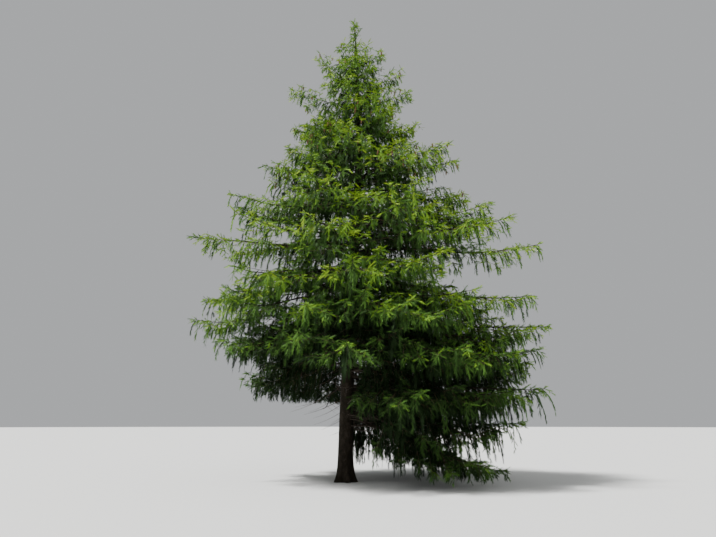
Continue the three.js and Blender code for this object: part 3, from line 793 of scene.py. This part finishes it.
def light_and_crowd(b):
    """Share of the outer light that reaches each branchlet, and how crowded its place is."""
    middle = branchlet_share(b, 0.5)
    low = middle.min(axis=0)
    cells = ((middle - low) / LIGHT_CELL).astype(int)
    shape = cells.max(axis=0) + 1
    crowd = np.zeros(shape)
    np.add.at(crowd, tuple(cells.T), b["length"])
    light = np.zeros(len(middle))
    out = middle - trunk_axis(middle[:, 2])
    out[:, 2] = 0
    out = unit(out)
    for steepness in LIGHT_STEEPNESS:
        way = unit(out + UP * steepness)
        passed = np.zeros(len(middle))
        for pace in range(1, LIGHT_PACES + 1):
            spot = ((middle + way * pace * LIGHT_CELL - low) / LIGHT_CELL).astype(int)
            inside = np.all((spot >= 0) & (spot < shape), axis=1)
            passed += np.where(inside, crowd[tuple(np.clip(spot, 0, shape - 1).T)], 0)
        light += np.exp(-LIGHT_LOSS * passed)
    return light / len(LIGHT_STEEPNESS), crowd[tuple(cells.T)]


def grow_shoots(b, random):
    """Straight shoots: along each branchlet, end to end, and left and right of it."""
    coarse = b["open"] < COARSE_BELOW
    reach = np.where(coarse, COARSE_REACH, 1) * NEEDLE_REACH
    density = np.where(b["hangs"], STRANDS_PER_METRE, SIDE_SHOOTS_PER_METRE)
    density = density * np.where(coarse, COARSE_SHARE, 1)
    axial = axial_shoots(b, reach)
    sideways = side_shoots(b, reach, density, random)
    return inside_reach(axial), inside_reach(sideways)


def axial_shoots(b, reach):
    """Shoots that follow the branchlets, end to end."""
    count = np.maximum(1, np.round(b["length"] / SHOOT_STEP)).astype(int)
    rows, k = numbered(count)
    low = branchlet_point(b, rows, k / count[rows])
    span = branchlet_point(b, rows, (k + 1) / count[rows]) - low
    size = np.linalg.norm(span, axis=1) * SHOOT_OVERLAP
    place = (k + 0.5) / count[rows]
    return dict(base=low, way=unit(span), length=size, reach=reach[rows], spray=rows, place=place)


def side_shoots(b, reach, density, random):
    """Shoots left and right of the branchlets, which droop where the branchlet hangs."""
    count = np.maximum(1, np.round(b["length"] * density)).astype(int)
    rows, k = numbered(count)
    u = (k + SHOOT_SHIFTS[0]) / (count[rows] + SHOOT_SHIFTS[1])
    low = branchlet_point(b, rows, u)
    along = unit(branchlet_point(b, rows, u + LOOK_AHEAD) - low)
    across = level_across(b["way"][rows])
    side = np.where((k + rows) % 2 == 0, 1.0, -1.0)
    hangs = b["hangs"][rows]
    angle = random.uniform(*SHOOT_ANGLE, len(k)) * DEGREE * np.where(hangs, STRAND_CLOSES, 1)
    way = along * np.cos(angle)[:, None] + across * (side * np.sin(angle))[:, None]
    way += random.normal(0, SHOOT_STRAYS, way.shape) + DOWN * np.where(hangs, STRAND_SAG, 0)[:, None]
    length = np.where(hangs, mix(*STRAND, u), mix(*SIDE_SHOOT, u))
    length = length * random.uniform(*SHOOT_VARIES, len(k))
    return dict(base=low, way=unit(way), length=length, reach=reach[rows], spray=rows, place=u)


def inside_reach(shoots):
    """Keeps the shoots that stay within the reach of the solids, or hardly pass it."""
    tips = shoots["base"] + shoots["way"] * (shoots["length"] * NEEDLE_OVERHANG)[:, None]
    low, high = np.array(CAD_BOX[0]) - SHOOT_EDGE, np.array(CAD_BOX[1]) + SHOOT_EDGE
    low[2] = LOWEST_FOLIAGE
    return select(shoots, np.all((tips > low) & (tips < high) & (shoots["base"] > low), axis=1))


def shoot_mesh(shoots, teeth, random):
    """Rows of needles on each shoot: pointed teeth that lean forward from its axis."""
    count = len(shoots["length"])
    shape = (count, NEEDLE_ROWS, teeth)
    along = shoots["way"]
    across = level_across(along)
    above = np.cross(along, across)
    roll = random.uniform(0, 2 * np.pi, count)[:, None] + np.arange(NEEDLE_ROWS) * NEEDLE_FOLD * DEGREE
    out = across[:, None] * np.cos(roll)[..., None] + above[:, None] * np.sin(roll)[..., None]
    axis = np.linspace(0, 1, teeth + 1)
    spine = shoots["base"][:, None] + along[:, None] * (shoots["length"][:, None] * axis)[..., None]
    taper = np.minimum(1, mix(*NEEDLE_TAPER, np.arange(teeth) / teeth))
    size = random.uniform(*NEEDLE_VARIES, shape) * taper * shoots["reach"][:, None, None]
    step = shoots["length"][:, None, None] / teeth
    ahead = (random.uniform(*NEEDLE_LEAN, shape) * step)[..., None] * along[:, None, None]
    tips = spine[:, None, :-1] + ahead + out[:, :, None] * size[..., None]
    points = np.concatenate([spine, tips.reshape(count, -1, 3)], axis=1)
    first = np.tile(np.arange(teeth), NEEDLE_ROWS)
    tip = teeth + 1 + np.arange(NEEDLE_ROWS * teeth)
    face = np.stack([first, tip, first + 1], axis=1)
    faces = face[None] + (np.arange(count) * points.shape[1])[:, None, None]
    return points.reshape(-1, 3), faces.reshape(-1, 3)


def ring_faces(rings, sides):
    """Faces of an open tube of rings."""
    ring = np.arange(rings - 1)[:, None] * sides
    a = ring + np.arange(sides)
    b = ring + (np.arange(sides) + 1) % sides
    return np.stack([a, b, b + sides, a + sides], axis=-1).reshape(-1, 4)


def tubes(paths, radii, sides, relief=None):
    """Open tubes along paths that all have as many points."""
    count, rings = radii.shape
    ways = unit(np.gradient(paths, axis=1))
    across = np.repeat(level_across(ways[:, :1]), rings, axis=1)
    above = unit(np.cross(ways, across))
    across = np.cross(above, ways)
    turn = 2 * np.pi * np.arange(sides) / sides
    radius = np.repeat(radii[..., None], sides, axis=2)
    if relief is not None:
        radius = radius * relief
    out = above[:, :, None] * np.cos(turn)[:, None] + across[:, :, None] * np.sin(turn)[:, None]
    points = paths[:, :, None] + out * radius[..., None]
    faces = ring_faces(rings, sides)[None] + (np.arange(count) * rings * sides)[:, None, None]
    return points.reshape(-1, 3), faces.reshape(-1, 4)


def placed(name, data):
    """A new object in the scene."""
    thing = bpy.data.objects.new(name, data)
    bpy.context.scene.collection.objects.link(thing)
    return thing


def mesh_object(name, points, faces, material, smooth):
    """A mesh object from arrays of points and of faces with as many corners each."""
    mesh = bpy.data.meshes.new(name)
    mesh.vertices.add(len(points))
    mesh.vertices.foreach_set("co", points.astype(np.float32).ravel())
    mesh.loops.add(faces.size)
    mesh.loops.foreach_set("vertex_index", faces.astype(np.int32).ravel())
    mesh.polygons.add(len(faces))
    starts = np.arange(len(faces), dtype=np.int32) * faces.shape[1]
    mesh.polygons.foreach_set("loop_start", starts)
    mesh.update(calc_edges=True)
    mesh.polygons.foreach_set("use_smooth", np.full(len(faces), smooth))
    mesh.materials.append(material)
    return placed(name, mesh)


def bark_relief(turns, heights, random):
    """Height of scaly bark plates over the trunk: thin plates with cracks between them."""
    rows = int(TREE_HEIGHT * PLATES_PER_METRE) + 3
    jitter = random.uniform(*PLATE_STRAYS, (rows, PLATE_COLUMNS, 2))
    lift = random.uniform(0, 1, (rows, PLATE_COLUMNS))
    x = turns / (2 * np.pi) * PLATE_COLUMNS
    y = heights * PLATES_PER_METRE + 1
    cell_x, cell_y = np.floor(x).astype(int), np.floor(y).astype(int)
    near = np.full(x.shape, np.inf)
    second = np.full(x.shape, np.inf)
    plate = np.zeros(x.shape)
    for step_x in (-1, 0, 1):
        for step_y in (-1, 0, 1):
            column = cell_x + step_x
            row = np.clip(cell_y + step_y, 0, rows - 1)
            spot = jitter[row, column % PLATE_COLUMNS]
            gap = np.hypot(column + spot[..., 0] - x, row + spot[..., 1] - y)
            closer = gap < near
            second = np.where(closer, near, np.minimum(second, gap))
            plate = np.where(closer, lift[row, column % PLATE_COLUMNS], plate)
            near = np.minimum(near, gap)
    crack = np.clip((second - near) / CRACK_WIDTH, 0, 1) ** CRACK_POWER
    return CRACK_DEPTH * (crack - 1) + PLATE_LIFT * plate * crack


def make_trunk(material):
    """The trunk with its lean, taper, flare and root lobes, and relief on its bark."""
    random = np.random.default_rng(TRUNK_SEED)
    fine, plain = TRUNK_RINGS
    step = FINE_HEIGHT / fine
    heights = np.concatenate([np.arange(fine) * step, np.linspace(FINE_HEIGHT, TRUNK_TOP, plain)])
    turn = 2 * np.pi * np.arange(TRUNK_SIDES) / TRUNK_SIDES
    z, turns = np.meshgrid(heights, turn, indexing="ij")
    lobes = 1 + LOBE_DEPTH * np.exp(-z / FLARE_HEIGHT) * np.cos(ROOT_LOBES * turns)
    swell = 1 + sum(size * np.sin(waves * turns + twist * z) for size, waves, twist in SWELLS)
    relief = bark_relief(turns, z, random) * np.minimum(1, trunk_radius(z) / SMALLEST_BARKED)
    radius = trunk_radius(z) * lobes * swell + relief
    points = trunk_axis(z) + np.stack([radius * np.cos(turns), radius * np.sin(turns), z * 0], axis=-1)
    faces = ring_faces(len(heights), TRUNK_SIDES)
    return mesh_object("trunk_bark", points.reshape(-1, 3), faces, material, True)


def make_boughs(limbs, material):
    """Every limb from inside the trunk to its tip, with a collar and uneven bark."""
    random = np.random.default_rng(BOUGH_SEED)
    u = np.linspace(0, 1, BOUGH_RINGS)
    paths = np.array([limb_point(limb, u) for limb in limbs])
    thickness = np.array([limb["thickness"] for limb in limbs])
    reach = np.array([limb["reach"] for limb in limbs])
    collar = 1 + COLLAR_SWELL * np.exp(-np.outer(reach, u) / COLLAR_LENGTH)
    radii = thickness[:, None] * (1 - LIMB_TAPER * u) * collar
    relief = random.uniform(*BOUGH_UNEVEN, (len(limbs), BOUGH_RINGS, BOUGH_SIDES))
    return mesh_object("boughs_bark", *tubes(paths, radii, BOUGH_SIDES, relief), material, True)


def make_branches(paths, radii, material):
    """The side branches, as thin tubes."""
    mesh = tubes(paths[:, ::BRANCH_STEP], radii[:, ::BRANCH_STEP], BRANCH_SIDES)
    return mesh_object("branches", *mesh, material, True)


def make_branchlets(b, material):
    """The branchlets, as slender three-sided spikes."""
    foot, tip = branchlet_share(b, 0.0), branchlet_share(b, BRANCHLET_DRAWN)
    across = level_across(b["way"])
    above = np.cross(b["way"], across)
    least, growth = BRANCHLET_RADIUS
    radius = (least + growth * b["length"])[:, None]
    corners = [foot + radius * (across * math.cos(turn) + above * math.sin(turn))
               for turn in (0, 2 * math.pi / 3, 4 * math.pi / 3)]
    points = np.stack([*corners, tip], axis=1).reshape(-1, 3)
    faces = np.array([[0, 1, 3], [1, 2, 3], [2, 0, 3]]) + 4 * np.arange(len(tip))[:, None, None]
    return mesh_object("branchlets", points, faces.reshape(-1, 3), material, True)


def shade_of(b, carrier_count, shoots, random):
    """How light the needles of each shoot are: painted shade from the outer light that reaches them,
    from height and near the low trunk, plus random tone and lighter new growth at the tips.
    """
    rows = shoots["spray"]
    height = b["start"][rows, 2]
    # Painted shade: needles are darker where less outer light reaches them, and lower down the crown.
    shade = b["open"][rows] + np.interp(height, *SHADE_BY_HEIGHT)
    shade += random.uniform(-BRANCH_SHADE, BRANCH_SHADE, carrier_count)[b["which"][rows]]
    shade += random.normal(0, SPRAY_SHADE, len(b["length"]))[rows]
    shade += random.normal(0, SHOOT_SHADE, len(rows))
    # Painted shade on the inner needles of the low crown, near the trunk.
    shade -= INNER_SHADE * (1 - b["outward"][rows]) * np.interp(height, *INNER_SHADE_HEIGHTS)
    return shade + np.where(b["hangs"][rows], HANGING_TIP_LIGHT, TIP_LIGHT) * shoots["place"]


def make_needles(axial, sideways, shades):
    """Needle pieces, one colour each, dealt out by spray by how light it is, which is mostly painted
    shade.
    """
    limits = np.quantile(np.concatenate(shades), [share for _, share, _, _ in NEEDLE_KINDS[1:]])
    random = np.random.default_rng(NEEDLE_SEED)
    made = []
    for number, (name, _, dark, light) in enumerate(NEEDLE_KINDS):
        material = needle_material(name, dark, light)
        points, faces = [], []
        for shoots, shade, teeth in ((axial, shades[0], AXIS_TEETH), (sideways, shades[1], SIDE_TEETH)):
            chosen = select(shoots, np.searchsorted(limits, shade) == number)
            corners, triangles = shoot_mesh(chosen, teeth, random)
            faces.append(triangles + sum(len(p) for p in points))
            points.append(corners)
        points, faces = np.concatenate(points), np.concatenate(faces)
        parts = math.ceil(len(faces) / LARGEST_PIECE)
        for part, chunk in enumerate(np.array_split(faces, parts), start=1):
            used, renumbered = np.unique(chunk, return_inverse=True)
            triangles = renumbered.reshape(-1, 3)
            made.append(mesh_object(f"{name}_{part}", points[used], triangles, material, False))
    return made


def make_cones(branchlets, material):
    """Hanging cones with rows of scales, on the outer shoots of the top third."""
    random = np.random.default_rng(CONE_SEED)
    fits = branchlets["start"][:, 2] > CONE_FLOOR
    fits &= (branchlets["outward"] > CONE_OUTWARD) & ~branchlets["hangs"]
    rows = random.choice(np.flatnonzero(fits), CONE_COUNT, replace=False)
    top = branchlet_point(branchlets, rows, random.uniform(*CONE_PLACES, CONE_COUNT))
    length = random.uniform(*CONE_LENGTH, CONE_COUNT)
    tilt = random.normal(0, CONE_TILT, (CONE_COUNT, 3)) + DOWN
    u = np.linspace(0, 1, CONE_RINGS)
    paths = top[:, None] + unit(tilt)[:, None] * (length[:, None] * u)[..., None]
    radii = CONE_GIRTH * length[:, None] * np.interp(u, *CONE_PROFILE)
    odd = (np.arange(CONE_RINGS)[:, None] + np.arange(CONE_SIDES)) % 2
    relief = np.broadcast_to(mix(*CONE_SCALES, 1 - odd), (CONE_COUNT, CONE_RINGS, CONE_SIDES))
    return mesh_object("cones", *tubes(paths, radii, CONE_SIDES, relief), material, False)


def dead_stems(random):
    """Paths and radii of dead twigs on the shaded lower trunk."""
    height = random.uniform(*DEAD_HEIGHTS, DEAD_TWIGS)
    azimuth = random.normal(*DEAD_AZIMUTH, DEAD_TWIGS) * DEGREE
    length = random.uniform(*DEAD_LENGTH, DEAD_TWIGS)
    rise = random.normal(*DEAD_RISE, DEAD_TWIGS)
    way = unit(np.stack([np.cos(azimuth), np.sin(azimuth), rise], axis=1))
    u = np.linspace(0, 1, DEAD_RINGS)
    wander = random.normal(0, DEAD_WANDER, (DEAD_TWIGS, DEAD_RINGS, 3))
    wander = wander * u[:, None] * length[:, None, None]
    fall = DOWN * (DEAD_FALL * length[:, None] * u ** 2)[..., None]
    paths = trunk_axis(height)[:, None] + way[:, None] * (length[:, None] * u)[..., None] + wander + fall
    least, growth = DEAD_THICKNESS
    return paths, (least + growth * length)[:, None] * (1 - DEAD_TAPER * u)


def dead_spurs(stems, random):
    """Paths and radii of the short spurs left and right of the dead twigs."""
    which = np.repeat(np.arange(DEAD_TWIGS), SPURS)
    start, along = along_paths(stems, which, random.uniform(*SPUR_PLACES, len(which)))
    side = level_across(along) * random.choice([-1, 1], len(which))[:, None]
    ahead, aside = SPUR_WAY
    out = unit(along * ahead + side * aside + random.normal(0, SPUR_STRAYS, side.shape))
    tips = start + out * random.uniform(*SPUR_LENGTH, len(which))[:, None]
    return np.stack([start, tips], axis=1), np.repeat([SPUR_RADII], len(which), axis=0)


def make_dead_twigs(material):
    """The bare dead twigs with their spurs."""
    random = np.random.default_rng(DEAD_SEED)
    paths, radii = dead_stems(random)
    stems = tubes(paths, radii, DEAD_SIDES)
    spurs = tubes(*dead_spurs(paths, random), DEAD_SIDES)
    points = np.concatenate([stems[0], spurs[0]])
    faces = np.concatenate([stems[1], spurs[1] + len(stems[0])])
    return mesh_object("dead_twigs", points, faces, material, True)


def new_material(name, roughness, specular):
    """A node material with its tree, its shader and the places on the object."""
    material = bpy.data.materials.new(name)
    material.use_nodes = True
    tree = material.node_tree
    shader = tree.nodes["Principled BSDF"]
    shader.inputs["Roughness"].default_value = roughness
    shader.inputs["Specular IOR Level"].default_value = specular
    return material, tree, shader, tree.nodes.new("ShaderNodeTexCoord").outputs["Object"]


def add_node(tree, kind, **inputs):
    """A new node, with some inputs set to a value or linked to another node's output."""
    node = tree.nodes.new("ShaderNode" + kind)
    for name, value in inputs.items():
        if isinstance(value, bpy.types.NodeSocket):
            tree.links.new(value, node.inputs[name])
        else:
            node.inputs[name].default_value = value
    return node


def colour_ramp(tree, place, stops):
    """The colour between given stops, of a ramp without the two it starts with."""
    ramp = add_node(tree, "ValToRGB", Fac=place)
    elements = ramp.color_ramp.elements
    for position, colour in stops:
        elements.new(position).color = (*colour, 1)
    elements.remove(elements[-1])
    elements.remove(elements[0])
    return ramp.outputs["Color"]


def needle_material(name, dark, light):
    """Satin green that drifts between two near shades."""
    material, tree, shader, place = new_material(name, roughness=0.6, specular=0.08)
    noise = add_node(tree, "TexNoise", Vector=place, Scale=2.4, Detail=6)
    colour = colour_ramp(tree, noise.outputs["Fac"], zip(NEEDLE_STOPS, (dark, light)))
    tree.links.new(colour, shader.inputs["Base Color"])
    return material


def bark_material(name):
    """Scaly bark: three shades by noise, with painted shade darkening the cracks between raised plates.
    """
    shades, scale, strength = BARKS[name]
    material, tree, shader, place = new_material(name, roughness=0.92, specular=0.2)
    tall = add_node(tree, "Mapping", Vector=place, Scale=(1, 1, 0.6)).outputs["Vector"]
    noise = add_node(tree, "TexNoise", Vector=tall, Scale=scale, Detail=10, Roughness=0.65)
    warp = add_node(tree, "TexNoise", Vector=tall, Scale=scale * WARP_FINENESS)
    uneven = add_node(tree, "VectorMath")
    uneven.operation = "MULTIPLY_ADD"
    uneven.inputs[1].default_value = (BARK_WARP, BARK_WARP, BARK_WARP)
    tree.links.new(warp.outputs["Color"], uneven.inputs[0])
    tree.links.new(tall, uneven.inputs[2])
    plates = add_node(tree, "TexVoronoi", Vector=uneven.outputs["Vector"], Scale=scale * PLATE_FINENESS)
    plates.feature = "DISTANCE_TO_EDGE"
    limits = {"From Max": 0.14, "To Min": 0.5}
    rise = add_node(tree, "MapRange", Value=plates.outputs["Distance"], **limits)
    rise.interpolation_type = "SMOOTHSTEP"
    raised = rise.outputs["Result"]
    height = add_node(tree, "Math")
    height.operation = "ADD"
    tree.links.new(noise.outputs["Fac"], height.inputs[0])
    tree.links.new(raised, height.inputs[1])
    bump = add_node(tree, "Bump", Height=height.outputs["Value"], Strength=strength, Distance=0.008)
    colour = colour_ramp(tree, noise.outputs["Fac"], zip(BARK_STOPS, shades))
    # Painted shade: the colour is darkened in the cracks, down to half at the middle of a crack.
    cracks = add_node(tree, "MixRGB", Fac=1, Color1=colour, Color2=raised)
    cracks.blend_type = "MULTIPLY"
    tree.links.new(bump.outputs["Normal"], shader.inputs["Normal"])
    tree.links.new(cracks.outputs["Color"], shader.inputs["Base Color"])
    return material


def make_floor():
    """A plain pale floor, round and wide."""
    turn = np.linspace(0, 2 * np.pi, FLOOR_SIDES, endpoint=False)
    points = FLOOR_RADIUS * np.stack([np.cos(turn), np.sin(turn), turn * 0], axis=1)
    material, _, shader, _ = new_material("floor", roughness=0.9, specular=0.5)
    shader.inputs["Base Color"].default_value = FLOOR_COLOUR
    floor = mesh_object("floor", points, np.arange(FLOOR_SIDES)[None], material, False)


def make_camera():
    """The camera at the photograph's angle."""
    data = bpy.data.cameras.new("camera")
    data.sensor_width = SENSOR_WIDTH
    data.lens = SENSOR_WIDTH * FOCAL_PIXELS / PHOTO_WIDTH
    data.clip_end = 2 * FLOOR_RADIUS
    camera = placed("camera", data)
    camera.location = CAMERA_PLACE
    camera.rotation_euler = ((90 + CAMERA_PITCH) * DEGREE, 0, 0)
    bpy.context.scene.camera = camera


def make_lights():
    """A soft high key from the front left, a weak fill and pale air."""
    for name, strength, softness, (x, y, z) in SUNS:
        data = bpy.data.lights.new(name, "SUN")
        data.energy = strength
        data.angle = softness * DEGREE
        lamp = placed(name, data)
        lamp.rotation_euler = (math.atan2(math.hypot(x, y), -z), 0, math.atan2(y, x) - math.pi / 2)
    world = bpy.data.worlds.new("air")
    world.use_nodes = True
    air = world.node_tree.nodes["Background"]
    air.inputs["Color"].default_value = AIR_COLOUR
    air.inputs["Strength"].default_value = AIR_STRENGTH
    bpy.context.scene.world = world


def main():
    """Grows the crown, makes every piece, hides the parts of the solids that the pieces replace and
    hangs the pieces under one body.
    """
    foliage = [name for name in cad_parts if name.startswith("foliage_")]
    boughs = [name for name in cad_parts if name.startswith("bough_")]
    random = np.random.default_rng(CROWN_SEED)
    solids = solid_limbs()
    limbs = [*solids, leader(), *added_limbs(solids), spire()]
    paths, radii, facts = grow_carriers(limbs)
    branchlets = grow_branchlets(paths, facts, random)
    axial, sideways = grow_shoots(branchlets, random)
    shades = [shade_of(branchlets, len(paths), shoots, random) for shoots in (axial, sideways)]

    # Trunk and bough bark, darkened with painted shade from the crown.
    bark = bark_material("bark")
    twig_bark = bark_material("twig_bark")
    trunk_piece = make_trunk(bark)
    boughs_piece = make_boughs(limbs, bark)
    dead_piece = make_dead_twigs(bark_material("dead_bark"))
    branches = make_branches(paths[len(limbs):], radii[len(limbs):], twig_bark)
    twigs = make_branchlets(branchlets, twig_bark)
    needles = make_needles(axial, sideways, shades)
    cones = make_cones(branchlets, bark_material("cone_scales"))

    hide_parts("trunk")
    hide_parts(*boughs)
    for piece in (branches, twigs, *needles, cones):
        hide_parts(*foliage)
    for piece in (trunk_piece, boughs_piece, dead_piece, branches, twigs, *needles, cones):
        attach(piece, "root")
    make_floor()
    make_camera()
    make_lights()


main()
